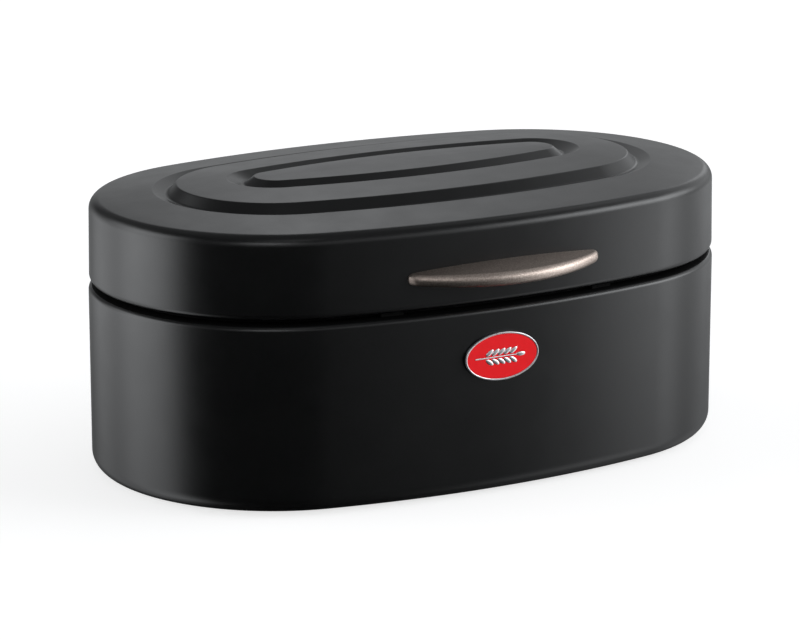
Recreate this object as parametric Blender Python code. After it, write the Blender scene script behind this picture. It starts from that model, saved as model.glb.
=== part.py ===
"""Oval steel bread bin with a lid that swings up on a rear hinge.

Metres, +Z up. The long side lies along X and the handle faces -Y. The origin is the
middle of the footprint, on the surface that the rubber feet stand on.
"""
import math

import bmesh
import bpy
from mathutils import Matrix, Vector

# Plan outline of the body: an oval of two end arcs and two flat side arcs that meet
# tangentially. Insets are measured inward from it.
HALF_LENGTH = 0.1710
HALF_WIDTH = 0.1032
END_RADIUS = 0.0957
END_STEPS = 12
SIDE_STEPS = 4

# Sheet metal and fits
SHEET = 0.0008
TOUCH = 0.0003

# Heights above the body's lower edge
FOOT_DROP = 0.0015
BASE_STEP = 0.0016
SHOULDER_Z = 0.0957
NECK_TOP_Z = 0.1048
LID_EDGE_Z = 0.0982
LID_RIM_Z = 0.1407

# Edge radii of the two pressings
BASE_RADIUS = 0.009
SHOULDER_RADIUS = 0.0028
NECK_INSET = 0.0090
LID_EDGE_RADIUS = 0.0034
LID_LIP_INSET = 0.0076
LID_TOP_RADIUS = 0.006

# The lid's wall leans in a little from its lower edge to its top
LID_EDGE_INSET = 0.0003
LID_TOP_INSET = 0.0009

# Lid embossing as (inset from the outline, height above the rim)
RING_OUTER = (0.0063, 0.0000)
RING_INNER = (0.0320, 0.0031)
OUTER_GROOVE = (0.0408, 0.0010)
PLATEAU_OUTER = (0.0468, 0.0062)
PLATEAU_INNER = (0.0718, 0.0082)
INNER_GROOVE = (0.0795, 0.0054)
PAD_OUTER = (0.0847, 0.0092)
PAD_MIDDLE = (0.0935, 0.0096)

# The embossed ovals are this much longer at each end than curves parallel to the outline
EMBOSS_STRETCH = 0.0022

# Rubber feet and lid buffers
FOOT_X = 0.100
FOOT_Y = 0.050
FOOT_RADIUS = 0.008
FOOT_STEM_RADIUS = 0.0025
BUFFER_X = 0.060
BUFFER_LENGTH = 0.012
BUFFER_INSETS = (0.0048, 0.0074)

# Badge on the front wall
BADGE_X = -0.0035
BADGE_Z = 0.0708
BADGE_HALF_LENGTH = 0.0210
BADGE_HALF_HEIGHT = 0.0123
BADGE_DEPTH = 0.0014
BADGE_RIM = 0.0010
BADGE_RECESS = 0.0006
BADGE_STUD_X = 0.012
BADGE_STUD_RADIUS = 0.0012
BADGE_NUT_RADIUS = 0.0040

# Crescent handle on the lid's front wall
HANDLE_REACH = 0.1203
HANDLE_HALF_LENGTH = 0.0543
HANDLE_TIP_STAND = 0.0028
HANDLE_TIP_ROUND = 0.0032
HANDLE_Z = 0.1118
HANDLE_EDGE = 0.0057
HANDLE_BELLY = 0.0016
HANDLE_TOP_SLOPE = 0.175
HANDLE_STATIONS = 24
SCREW_X = 0.022
SCREW_RADIUS = 0.0018
SCREW_DEPTH = 0.008
SCREW_HEAD_RADIUS = 0.0036
WASHER_RADIUS = 0.0050

# Rear hinge
HINGE_WIDTH = 0.060
LEAF_REACH = 0.022
KNUCKLE_RADIUS = 0.0022
KNUCKLE_COUNT = 3
KNUCKLE_GAP = 0.0004
BORE_RADIUS = 0.00135
PIN_RADIUS = 0.00125
PIN_HEAD_RADIUS = 0.0021
RIVET_X = 0.020
RIVET_DROP = 0.014
RIVET_RADIUS = 0.0015
RIVET_HEAD_RADIUS = 0.0032
HOLE_SLACK = 0.0003
LID_OPEN_DEG = 100.0
LUG_REACH = 0.0046
LUG_THICKNESS = 0.0010

# Air holes in the rear wall
VENT_COUNT = 7
VENT_PITCH = 0.015
VENT_RADIUS = 0.0025
VENT_Z = 0.058

# Derived places
SIDE_RADIUS = ((HALF_LENGTH**2 + HALF_WIDTH**2 - 2 * HALF_LENGTH * END_RADIUS)
               / (2 * (HALF_WIDTH - END_RADIUS)))
TANGENT_ANGLE = math.atan2(SIDE_RADIUS - HALF_WIDTH, HALF_LENGTH - END_RADIUS)
HINGE_OUT = TOUCH + SHEET / 2
REAR_REACH = HALF_WIDTH + HINGE_OUT + LUG_REACH
OVAL_Y = (HANDLE_REACH - REAR_REACH) / 2
BASE_Z = FOOT_DROP
AXIS_Y = OVAL_Y + HALF_WIDTH + HINGE_OUT
AXIS_Z = BASE_Z + (SHOULDER_Z + LID_EDGE_Z) / 2
SCREW_Z = BASE_Z + HANDLE_Z + 0.0038
LID_WALL_INSET = (LID_EDGE_INSET + LID_TOP_INSET) / 2


# ---------------------------------------------------------------- scene and materials

def clear_scene():
    for scene_object in list(bpy.data.objects):
        bpy.data.objects.remove(scene_object, do_unlink=True)


def make_material(name, color, roughness, metallic):
    material = bpy.data.materials.new(name)
    material.use_nodes = True
    shader = material.node_tree.nodes["Principled BSDF"]
    shader.inputs["Base Color"].default_value = (*color, 1.0)
    shader.inputs["Roughness"].default_value = roughness
    shader.inputs["Metallic"].default_value = metallic
    return material


def make_object(name, mesh, material, smooth_below=40.0):
    mesh.shade_smooth()
    mesh.set_sharp_from_angle(angle=math.radians(smooth_below))
    mesh.materials.append(material)
    made = bpy.data.objects.new(name, mesh)
    bpy.context.collection.objects.link(made)
    return made


# ---------------------------------------------------------------- outlines and lofts

def outline_angles():
    """Normal angles round the oval, closer together where it bends more."""
    end = [TANGENT_ANGLE * step / END_STEPS for step in range(END_STEPS)]
    side_span = math.pi / 2 - TANGENT_ANGLE
    side = [TANGENT_ANGLE + side_span * step / SIDE_STEPS for step in range(SIDE_STEPS + 1)]
    quadrant = end + side
    half = quadrant + [math.pi - angle for angle in reversed(quadrant[:-1])]
    return half + [2 * math.pi - angle for angle in reversed(half[1:-1])]


def end_stretch(inset):
    """Factor that lengthens the embossed ovals, which lie between the ring and the pad."""
    share = (inset - RING_INNER[0]) / (PAD_OUTER[0] - RING_INNER[0])
    extra = EMBOSS_STRETCH * math.sin(math.pi * min(1.0, max(0.0, share)))
    return 1 + extra / (HALF_LENGTH - inset)


def oval_point(angle, inset, z):
    """Point of the outline, moved in by inset, where its normal has this angle."""
    along = abs(math.cos(angle))
    across = abs(math.sin(angle))
    if math.atan2(across, along) <= TANGENT_ANGLE:
        x = HALF_LENGTH - END_RADIUS + (END_RADIUS - inset) * along
        y = (END_RADIUS - inset) * across
    else:
        x = (SIDE_RADIUS - inset) * along
        y = (SIDE_RADIUS - inset) * across - (SIDE_RADIUS - HALF_WIDTH)
    x = math.copysign(x, math.cos(angle)) * end_stretch(inset)
    return Vector((x, math.copysign(y, math.sin(angle)), z))


def wall_y(x, inset=0.0):
    """Distance of the side wall from the oval's long axis at this x."""
    return math.sqrt((SIDE_RADIUS - inset)**2 - x**2) - (SIDE_RADIUS - HALF_WIDTH)


def flat_seat(x, radius, inset=0.0):
    """Depth at which a flat round head of this radius just clears the wall's inner face."""
    return wall_y(abs(x) + radius, inset + SHEET) - TOUCH


def oval_ring(inset, z):
    return [oval_point(angle, inset, z) for angle in outline_angles()]


def circle_ring(radius, z, steps=24):
    turns = [2 * math.pi * step / steps for step in range(steps)]
    return [Vector((radius * math.cos(turn), radius * math.sin(turn), z)) for turn in turns]


def ellipse_ring(half_length, half_height, z, steps=40):
    turns = [2 * math.pi * step / steps for step in range(steps)]
    return [Vector((half_length * math.cos(turn), half_height * math.sin(turn), z))
            for turn in turns]


def loft(name, rings, closed=False):
    """Skin a row of rings. The ends are capped, or joined to each other if closed."""
    builder = bmesh.new()
    rows = [[builder.verts.new(point) for point in ring] for ring in rings]
    pairs = list(zip(rows, rows[1:]))
    if closed:
        pairs.append((rows[-1], rows[0]))
    for lower, upper in pairs:
        count = len(lower)
        for index in range(count):
            following = (index + 1) % count
            builder.faces.new((lower[index], lower[following], upper[following], upper[index]))
    if not closed:
        builder.faces.new(rows[0])
        builder.faces.new(rows[-1])
    bmesh.ops.recalc_face_normals(builder, faces=builder.faces)
    mesh = bpy.data.meshes.new(name)
    builder.to_mesh(mesh)
    builder.free()
    return mesh


def turned(name, profile, steps=24, closed=False):
    """Round solid from (radius, height) pairs along its own Z axis."""
    return loft(name, [circle_ring(radius, z, steps) for radius, z in profile], closed)


def box_mesh(name, low, high):
    builder = bmesh.new()
    bmesh.ops.create_cube(builder, size=1.0)
    middle = (Vector(low) + Vector(high)) / 2
    size = Vector(high) - Vector(low)
    bmesh.ops.scale(builder, vec=size, verts=builder.verts)
    bmesh.ops.translate(builder, vec=middle, verts=builder.verts)
    mesh = bpy.data.meshes.new(name)
    builder.to_mesh(mesh)
    builder.free()
    return mesh


def arc(center, radius, start_deg, end_deg, steps):
    """Profile points on an arc. Zero degrees points outward, 90 degrees points up."""
    points = []
    for step in range(steps + 1):
        turn = math.radians(start_deg + (end_deg - start_deg) * step / steps)
        points.append((center[0] - radius * math.cos(turn), center[1] + radius * math.sin(turn)))
    return points


# ---------------------------------------------------------------- joining and cutting

def hide_tool(tool):
    tool.hide_render = True
    tool.display_type = "WIRE"


def apply_boolean(target, tool, operation):
    modifier = target.modifiers.new(tool.name, "BOOLEAN")
    modifier.operation = operation
    modifier.solver = "EXACT"
    modifier.object = tool
    hide_tool(tool)


def drill(target, name, place, direction, radius, length):
    """Cut a round hole whose middle is at place."""
    cutter = make_object(name, turned(name, [(radius, -length / 2), (radius, length / 2)], 16),
                         target.data.materials[0])
    cutter.location = place
    cutter.rotation_euler = Vector(direction).to_track_quat("Z", "Y").to_euler()
    apply_boolean(target, cutter, "DIFFERENCE")


def face_along(piece, place, direction):
    piece.location = place
    piece.rotation_euler = Vector(direction).to_track_quat("Z", "Y").to_euler()


# ---------------------------------------------------------------- body

def body_profiles():
    """Outer and inner profile of the body pressing, from the middle of the base upwards."""
    base = (BASE_RADIUS, BASE_RADIUS)
    shoulder = (SHOULDER_RADIUS, SHOULDER_Z - SHOULDER_RADIUS)
    outer = [(0.022, BASE_STEP), (0.019, 0.0)]
    outer += arc(base, BASE_RADIUS, -90, 0, 4)
    outer += arc(shoulder, SHOULDER_RADIUS, 0, 90, 3)
    outer += [(NECK_INSET, SHOULDER_Z), (NECK_INSET, NECK_TOP_Z)]
    inner = [(NECK_INSET + SHEET, NECK_TOP_Z), (NECK_INSET + SHEET, SHOULDER_Z - SHEET)]
    inner += arc(shoulder, SHOULDER_RADIUS - SHEET, 90, 0, 3)
    inner += arc(base, BASE_RADIUS - SHEET, 0, -90, 4)
    inner += [(0.019, SHEET), (0.022, BASE_STEP + SHEET)]
    return outer, inner


def build_body_shell(material):
    outer, inner = body_profiles()
    rings = [oval_ring(inset, z) for inset, z in outer + inner]
    shell = make_object("body_shell", loft("body_shell", rings), material, 25.0)
    shell.location = (0.0, OVAL_Y, BASE_Z)
    return shell


def drill_body(shell):
    for name, x, y in foot_places():
        drill(shell, f"cut_{name}", (x, y, BASE_Z + BASE_STEP), (0, 0, 1),
              FOOT_STEM_RADIUS + HOLE_SLACK, 0.006)
    for name, x in badge_studs("badge"):
        drill(shell, f"cut_{name}", (x, OVAL_Y - wall_y(x), BASE_Z + BADGE_Z), (0, 1, 0),
              BADGE_STUD_RADIUS + HOLE_SLACK, 0.006)
    for name, x in sides("rivet_body", RIVET_X):
        drill(shell, f"cut_{name}", (x, OVAL_Y + wall_y(x), AXIS_Z - RIVET_DROP), (0, 1, 0),
              RIVET_RADIUS + HOLE_SLACK, 0.006)
    for index in range(VENT_COUNT):
        x = (index - (VENT_COUNT - 1) / 2) * VENT_PITCH
        drill(shell, f"cut_vent_{index}", (x, OVAL_Y + wall_y(x), BASE_Z + VENT_Z), (0, 1, 0),
              VENT_RADIUS, 0.006)


def sides(stem, x):
    return ((f"{stem}_left", -x), (f"{stem}_right", x))


def badge_studs(stem):
    """Names and places of the badge's two studs."""
    return [(name, BADGE_X + x) for name, x in sides(stem, BADGE_STUD_X)]


def corners(stem, x, y):
    """Names and places of four copies, front before rear and left before right."""
    return [(f"{stem}_{depth}_{side}", sign_x * x, OVAL_Y + sign_y * y)
            for depth, sign_y in (("front", -1), ("rear", 1))
            for side, sign_x in (("left", -1), ("right", 1))]


def foot_places():
    return corners("foot", FOOT_X, FOOT_Y)


def build_feet(material):
    """Push-in rubber feet: a tread below the base and a barb above it."""
    tread_top = BASE_Z + BASE_STEP - TOUCH
    barb = BASE_Z + BASE_STEP + SHEET + TOUCH
    profile = [(FOOT_RADIUS - 0.001, 0.0), (FOOT_RADIUS, 0.001), (FOOT_RADIUS, tread_top),
               (FOOT_STEM_RADIUS, tread_top), (FOOT_STEM_RADIUS, barb),
               (FOOT_STEM_RADIUS + 0.0015, barb), (FOOT_STEM_RADIUS - 0.0005, barb + 0.003)]
    for name, x, y in foot_places():
        foot = make_object(name, turned(name, profile, 20), material)
        foot.location = (x, y, 0.0)


def build_buffers(material):
    """Rubber buffers that stand on the shoulder and stop just under the lid's edge."""
    low_z = BASE_Z + SHOULDER_Z + TOUCH
    high_z = BASE_Z + LID_EDGE_Z - TOUCH
    half_height = (high_z - low_z) / 2
    inset = sum(BUFFER_INSETS) / 2
    half_depth = (BUFFER_INSETS[1] - BUFFER_INSETS[0]) / 2
    for name, x, y in corners("buffer", BUFFER_X, wall_y(BUFFER_X, inset)):
        half = Vector((BUFFER_LENGTH / 2, half_depth, half_height))
        buffer = make_object(name, box_mesh(name, -half, half), material)
        lean = math.asin(x / SIDE_RADIUS)
        buffer.location = (x, y, (low_z + high_z) / 2)
        buffer.rotation_euler = (0.0, 0.0, -lean if y > OVAL_Y else lean)


# ---------------------------------------------------------------- badge

def build_badge(metal, enamel, steel):
    """Oval tray on two studs, an enamel field in it and push nuts behind the wall."""
    back = OVAL_Y - HALF_WIDTH - TOUCH
    rings = [ellipse_ring(BADGE_HALF_LENGTH, BADGE_HALF_HEIGHT, 0.0),
             ellipse_ring(BADGE_HALF_LENGTH, BADGE_HALF_HEIGHT, BADGE_DEPTH - 0.0003),
             ellipse_ring(BADGE_HALF_LENGTH - 0.0003, BADGE_HALF_HEIGHT - 0.0003, BADGE_DEPTH)]
    field_length = BADGE_HALF_LENGTH - BADGE_RIM
    field_height = BADGE_HALF_HEIGHT - BADGE_RIM
    rings += [ellipse_ring(field_length, field_height, BADGE_DEPTH),
              ellipse_ring(field_length, field_height, BADGE_DEPTH - BADGE_RECESS)]
    frame = make_object("badge_frame", loft("badge_frame", rings), metal)
    face_along(frame, (BADGE_X, back, BASE_Z + BADGE_Z), (0, -1, 0))

    stud_length = 0.0055
    stud_profile = [(BADGE_STUD_RADIUS, -0.0004), (BADGE_STUD_RADIUS, stud_length)]
    for name, x in badge_studs("badge_stud"):
        stud = make_object(name, turned(name, stud_profile, 12), metal)
        face_along(stud, (x, back, BASE_Z + BADGE_Z), (0, 1, 0))
        apply_boolean(frame, stud, "UNION")

    low = BADGE_DEPTH - BADGE_RECESS + TOUCH
    gap = 0.0002
    field = [ellipse_ring(field_length - gap, field_height - gap, low),
             ellipse_ring(field_length - gap, field_height - gap, BADGE_DEPTH - 0.0001),
             ellipse_ring(field_length * 0.6, field_height * 0.6, BADGE_DEPTH + 0.0001)]
    inlay = make_object("badge_inlay", loft("badge_inlay", field), enamel)
    face_along(inlay, (BADGE_X, back, BASE_Z + BADGE_Z), (0, -1, 0))

    nut_bore = BADGE_STUD_RADIUS + 0.00015
    nut = [(nut_bore, 0.0), (BADGE_NUT_RADIUS, 0.0), (BADGE_NUT_RADIUS, 0.0004),
           (nut_bore + 0.0006, 0.0010), (nut_bore, 0.0010)]
    for name, x in badge_studs("badge_nut"):
        push_nut = make_object(name, turned(name, nut, 20, closed=True), steel)
        inside = OVAL_Y - flat_seat(x, BADGE_NUT_RADIUS)
        face_along(push_nut, (x, inside, BASE_Z + BADGE_Z), (0, 1, 0))


# ---------------------------------------------------------------- lid

def lid_profiles():
    """Outer profile of the lid pressing from the lip up to the middle, and the inner one back."""
    ring_slope = math.degrees(math.atan2(RING_INNER[1] - RING_OUTER[1],
                                         RING_INNER[0] - RING_OUTER[0]))
    edge = (LID_EDGE_INSET + LID_EDGE_RADIUS, LID_EDGE_Z + LID_EDGE_RADIUS)
    top = (LID_TOP_INSET + LID_TOP_RADIUS, LID_RIM_Z - LID_TOP_RADIUS)
    crest = [(inset, LID_RIM_Z + rise) for inset, rise in
             (RING_INNER, OUTER_GROOVE, PLATEAU_OUTER, PLATEAU_INNER,
              INNER_GROOVE, PAD_OUTER, PAD_MIDDLE)]
    outer = [(LID_LIP_INSET, LID_EDGE_Z)]
    outer += arc(edge, LID_EDGE_RADIUS, -90, 0, 5)
    outer += arc(top, LID_TOP_RADIUS, 0, 90 - ring_slope, 4)
    outer += crest
    inner = [(inset, z - SHEET) for inset, z in reversed(crest)]
    inner += arc(top, LID_TOP_RADIUS - SHEET, 90 - ring_slope, 0, 3)
    inner += arc(edge, LID_EDGE_RADIUS - SHEET, 0, -90, 4)
    inner += [(LID_LIP_INSET, LID_EDGE_Z + SHEET)]
    return outer, inner


def build_lid_shell(material):
    """One pressing. The skin runs from the lip over the top and back down the inside."""
    outer, inner = lid_profiles()
    rings = [oval_ring(inset, z) for inset, z in outer]
    under = [oval_ring(inset, z) for inset, z in inner]
    builder = bmesh.new()
    rows = [[builder.verts.new(point) for point in ring] for ring in rings + under]
    top_row = len(rings) - 1
    for index, lower in enumerate(rows):
        upper = rows[(index + 1) % len(rows)]
        if index == top_row:
            builder.faces.new(lower)
            builder.faces.new(upper)
            continue
        count = len(lower)
        for place in range(count):
            following = (place + 1) % count
            builder.faces.new((lower[place], lower[following], upper[following], upper[place]))
    bmesh.ops.recalc_face_normals(builder, faces=builder.faces)
    mesh = bpy.data.meshes.new("lid_shell")
    builder.to_mesh(mesh)
    builder.free()
    shell = make_object("lid_shell", mesh, material, 25.0)
    shell.location = (0.0, OVAL_Y, BASE_Z)
    return shell


def drill_lid(shell):
    for name, x in sides("handle_screw", SCREW_X):
        drill(shell, f"cut_{name}", (x, OVAL_Y - wall_y(x), SCREW_Z), (0, 1, 0),
              SCREW_RADIUS + HOLE_SLACK, 0.006)
    for name, x in sides("rivet_lid", RIVET_X):
        drill(shell, f"cut_{name}", (x, OVAL_Y + wall_y(x), AXIS_Z + RIVET_DROP), (0, 1, 0),
              RIVET_RADIUS + HOLE_SLACK, 0.006)


# ---------------------------------------------------------------- handle

def handle_seat(x):
    """Distance of the lid's wall from the oval's long axis, behind the handle at this x."""
    return wall_y(x, LID_WALL_INSET)


def handle_reach(x):
    """How far the crescent stands out from the oval's long axis: one arc with round tips."""
    seat = handle_seat(x)
    rise = HANDLE_REACH - handle_seat(HANDLE_HALF_LENGTH) - HANDLE_TIP_STAND
    radius = (HANDLE_HALF_LENGTH**2 + rise**2) / (2 * rise)
    reach = HANDLE_REACH - radius + math.sqrt(radius**2 - x**2)
    past = max(0.0, 1 - (HANDLE_HALF_LENGTH - abs(x)) / HANDLE_TIP_ROUND)
    return seat + (reach - seat) * math.sqrt(1 - past**2)


def handle_section(x):
    """Section of the crescent: flat below, round at the front, sloping up to the wall.

    Its lower face bows down towards the middle, so the crescent is thickest there.
    """
    back = -handle_seat(x) - TOUCH
    front = min(-handle_reach(x), back - 0.0004)
    depth = back - front
    low = -HANDLE_BELLY * (1 - (x / HANDLE_HALF_LENGTH)**2)
    half_height = (HANDLE_EDGE - low) / 2
    nose = min(half_height, depth * 0.8)
    points = [Vector((x, back, low))]
    for step in range(7):
        turn = math.radians(-90 + 180 * step / 6)
        points.append(Vector((x, front + nose - nose * math.cos(turn),
                              low + half_height * (1 + math.sin(turn)))))
    points.append(Vector((x, back, HANDLE_EDGE + (depth - nose) * HANDLE_TOP_SLOPE)))
    return points


def build_handle(material):
    half = HANDLE_HALF_LENGTH - 0.0002
    stations = []
    for step in range(HANDLE_STATIONS + 1):
        share = -1 + 2 * step / HANDLE_STATIONS
        stations.append(half * (math.sin(share * math.pi / 2) * 0.85 + share * 0.15))
    mesh = loft("handle", [handle_section(x) for x in stations])
    handle = make_object("handle", mesh, material)
    handle.location = (0.0, OVAL_Y, BASE_Z + HANDLE_Z)
    for name, x in sides("screw", SCREW_X):
        drill(handle, f"cut_handle_{name}", (x, OVAL_Y - wall_y(x), SCREW_Z), (0, 1, 0),
              SCREW_RADIUS + 0.0002, 2 * (SCREW_DEPTH + 0.001))
    return handle


def build_handle_fasteners(material):
    """Pan-head screws and washers inside the lid, driven outward into the handle."""
    washer_depth = 0.0008
    head_depth = 0.0024
    washer = [(SCREW_RADIUS + HOLE_SLACK, 0.0), (WASHER_RADIUS, 0.0),
              (WASHER_RADIUS, washer_depth), (SCREW_RADIUS + HOLE_SLACK, washer_depth)]
    screw = [(SCREW_RADIUS * 0.6, -SCREW_DEPTH), (SCREW_RADIUS, -SCREW_DEPTH + 0.001),
             (SCREW_RADIUS, 0.0), (SCREW_HEAD_RADIUS, 0.0),
             (SCREW_HEAD_RADIUS, head_depth * 0.6), (SCREW_HEAD_RADIUS * 0.7, head_depth)]
    pieces = []
    for side, x in sides("handle", SCREW_X):
        inside = OVAL_Y - flat_seat(x, WASHER_RADIUS, LID_TOP_INSET)
        ring = make_object(side.replace("handle", "handle_washer"),
                           turned("washer", washer, 20, closed=True), material)
        face_along(ring, (x, inside, SCREW_Z), (0, 1, 0))
        bolt = make_object(side.replace("handle", "handle_screw"),
                           turned("screw", screw, 16), material)
        face_along(bolt, (x, inside + washer_depth + TOUCH, SCREW_Z), (0, 1, 0))
        pieces += [ring, bolt]
    return pieces


# ---------------------------------------------------------------- hinge

def knuckle_spans():
    pitch = HINGE_WIDTH / KNUCKLE_COUNT
    spans = []
    for index in range(KNUCKLE_COUNT):
        start = -HINGE_WIDTH / 2 + index * pitch
        spans.append((start + KNUCKLE_GAP / 2, start + pitch - KNUCKLE_GAP / 2))
    return spans


def tube_mesh(name, start, end):
    """Barrel of one knuckle, along X, with the pin's bore through it."""
    mesh = turned(name, [(BORE_RADIUS, start), (KNUCKLE_RADIUS, start),
                         (KNUCKLE_RADIUS, end), (BORE_RADIUS, end)], 24, closed=True)
    mesh.transform(Matrix.Rotation(math.pi / 2, 4, "Y"))
    return mesh


def leaf_mesh(name, own_spans, direction):
    """Flat leaf with tongues that reach into its own knuckles and clear the others."""
    half = SHEET / 2
    clear = KNUCKLE_RADIUS + 0.0005
    root = (BORE_RADIUS + KNUCKLE_RADIUS) / 2
    outline = [(-HINGE_WIDTH / 2, LEAF_REACH), (-HINGE_WIDTH / 2, clear)]
    for start, end in own_spans:
        outline += [(start, clear), (start, root), (end, root), (end, clear)]
    outline += [(HINGE_WIDTH / 2, clear), (HINGE_WIDTH / 2, LEAF_REACH)]
    tidy = [outline[0]]
    for point in outline[1:]:
        if (Vector(point) - Vector(tidy[-1])).length > 0.0003:
            tidy.append(point)
    rings = [[Vector((x, y, direction * z)) for x, z in tidy] for y in (-half, half)]
    return loft(name, rings)


def build_leaf(name, own, direction, material):
    """One leaf: the plate with its knuckles joined on and its rivet holes cut."""
    spans = [knuckle_spans()[index] for index in own]
    leaf = make_object(name, leaf_mesh(name, spans, direction), material)
    leaf.location = (0.0, AXIS_Y, AXIS_Z)
    for index in own:
        start, end = knuckle_spans()[index]
        barrel_name = f"{name}_knuckle_{index}"
        barrel = make_object(barrel_name, tube_mesh(barrel_name, start, end), material)
        barrel.location = (0.0, AXIS_Y, AXIS_Z)
        apply_boolean(leaf, barrel, "UNION")
    for side, x in sides(name, RIVET_X):
        drill(leaf, f"cut_{side}", (x, AXIS_Y, AXIS_Z + direction * RIVET_DROP), (0, 1, 0),
              RIVET_RADIUS + HOLE_SLACK, 0.004)
    return leaf


def add_stop_lug(leaf, material):
    """Lug on the lid's knuckle that meets the body leaf when the lid is fully open."""
    start, end = knuckle_spans()[1]
    near = SHEET / 2 + 0.0001
    root = (BORE_RADIUS + KNUCKLE_RADIUS) / 2
    mesh = box_mesh("stop_lug", (start + 0.002, near, -LUG_REACH),
                    (end - 0.002, near + LUG_THICKNESS, -root))
    mesh.transform(Matrix.Rotation(math.radians(LID_OPEN_DEG), 4, "X"))
    lug = make_object("stop_lug", mesh, material)
    lug.location = (0.0, AXIS_Y, AXIS_Z)
    apply_boolean(leaf, lug, "UNION")


def build_hinge(material):
    body_leaf = build_leaf("hinge_body_leaf", (0, 2), -1, material)
    lid_leaf = build_leaf("hinge_lid_leaf", (1,), 1, material)
    add_stop_lug(lid_leaf, material)
    half = HINGE_WIDTH / 2
    cap = half + TOUCH
    profile = [(PIN_HEAD_RADIUS * 0.7, -cap - 0.0012), (PIN_HEAD_RADIUS, -cap - 0.0007),
               (PIN_HEAD_RADIUS, -cap), (PIN_RADIUS, -cap), (PIN_RADIUS, cap),
               (PIN_HEAD_RADIUS, cap), (PIN_HEAD_RADIUS, cap + 0.0007),
               (PIN_HEAD_RADIUS * 0.7, cap + 0.0012)]
    pin = make_object("hinge_pin", turned("hinge_pin", profile), material)
    face_along(pin, (0.0, AXIS_Y, AXIS_Z), (1, 0, 0))
    return body_leaf, lid_leaf


def build_rivets(stem, z, inset, material):
    """Rivets from the leaf's outer face through a wall at this inset, set with a flat head inside."""
    made = []
    for name, x in sides(stem, RIVET_X):
        leaf_face = AXIS_Y + SHEET / 2 + TOUCH
        inside = OVAL_Y + flat_seat(x, RIVET_HEAD_RADIUS, inset)
        grip = leaf_face - inside
        profile = [(RIVET_HEAD_RADIUS * 0.85, -0.0010), (RIVET_HEAD_RADIUS, 0.0),
                   (RIVET_RADIUS, 0.0), (RIVET_RADIUS, grip), (RIVET_HEAD_RADIUS, grip),
                   (RIVET_HEAD_RADIUS * 0.85, grip + 0.0008),
                   (RIVET_HEAD_RADIUS * 0.45, grip + 0.0013)]
        rivet = make_object(name, turned(name, profile, 16), material)
        face_along(rivet, (x, inside, z), (0, 1, 0))
        made.append(rivet)
    return made


# ---------------------------------------------------------------- assembly

def hang_on_hinge(pieces):
    """Parent the lid's pieces to an empty on the hinge axis."""
    pivot = bpy.data.objects.new("lid_hinge", None)
    bpy.context.collection.objects.link(pivot)
    pivot.location = (0.0, AXIS_Y, AXIS_Z)
    bpy.context.view_layer.update()
    for piece in pieces:
        piece.parent = pivot
        piece.matrix_parent_inverse = pivot.matrix_world.inverted()


def main():
    clear_scene()
    coat = make_material("powder_coat", (0.012, 0.012, 0.013), 0.38, 0.0)
    rubber = make_material("rubber", (0.02, 0.02, 0.02), 0.75, 0.0)
    nickel = make_material("satin_nickel", (0.62, 0.58, 0.52), 0.34, 1.0)
    steel = make_material("zinc_steel", (0.55, 0.56, 0.58), 0.35, 1.0)
    enamel = make_material("red_enamel", (0.72, 0.005, 0.012), 0.15, 0.0)

    body_shell = build_body_shell(coat)
    drill_body(body_shell)
    build_feet(rubber)
    build_buffers(rubber)
    build_badge(nickel, enamel, steel)

    lid_shell = build_lid_shell(coat)
    drill_lid(lid_shell)
    handle = build_handle(nickel)
    fasteners = build_handle_fasteners(steel)

    _, lid_leaf = build_hinge(steel)
    build_rivets("rivet_body", AXIS_Z - RIVET_DROP, 0.0, steel)
    lid_rivets = build_rivets("rivet_lid", AXIS_Z + RIVET_DROP, LID_TOP_INSET, steel)
    hang_on_hinge([lid_shell, handle, lid_leaf] + fasteners + lid_rivets)


main()
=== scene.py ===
"""Looks of the oval bread bin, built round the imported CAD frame. Metres, +Z up, handle towards -Y."""
import math

import bmesh
import bpy
from mathutils import Matrix, Vector


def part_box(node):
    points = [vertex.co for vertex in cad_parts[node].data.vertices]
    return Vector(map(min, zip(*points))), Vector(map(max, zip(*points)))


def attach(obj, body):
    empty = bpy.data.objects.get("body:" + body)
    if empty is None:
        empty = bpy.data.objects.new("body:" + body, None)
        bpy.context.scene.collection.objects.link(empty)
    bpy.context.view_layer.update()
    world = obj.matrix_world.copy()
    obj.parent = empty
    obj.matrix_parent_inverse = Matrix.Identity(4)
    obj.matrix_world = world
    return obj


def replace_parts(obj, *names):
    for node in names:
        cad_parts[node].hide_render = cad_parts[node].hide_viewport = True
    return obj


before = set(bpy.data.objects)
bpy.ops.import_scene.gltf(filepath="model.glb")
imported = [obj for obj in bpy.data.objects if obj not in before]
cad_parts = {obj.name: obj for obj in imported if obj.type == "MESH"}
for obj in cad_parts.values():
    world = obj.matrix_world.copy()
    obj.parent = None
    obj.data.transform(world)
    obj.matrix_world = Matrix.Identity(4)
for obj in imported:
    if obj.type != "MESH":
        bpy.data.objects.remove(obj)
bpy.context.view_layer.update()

# ---------------------------------------------------------------- sizes, in metres

body_low, body_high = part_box("body_shell")
lid_low, lid_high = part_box("lid_shell")
badge_low, badge_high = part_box("badge_frame")
handle_low, handle_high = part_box("handle")

# The oval outline: two end arcs that meet two flatter side arcs tangentially
HALF_LENGTH = (body_high.x - body_low.x) / 2
HALF_WIDTH = (body_high.y - body_low.y) / 2
OVAL_Y = (body_high.y + body_low.y) / 2
BASE_Z = body_low.z
END_RADIUS = 0.0957
SIDE_RADIUS = ((HALF_LENGTH**2 + HALF_WIDTH**2 - 2 * HALF_LENGTH * END_RADIUS)
               / (2 * (HALF_WIDTH - END_RADIUS)))
TANGENT_ANGLE = math.atan2(SIDE_RADIUS - HALF_WIDTH, HALF_LENGTH - END_RADIUS)
END_STEPS = 44
SIDE_STEPS = 12
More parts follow.
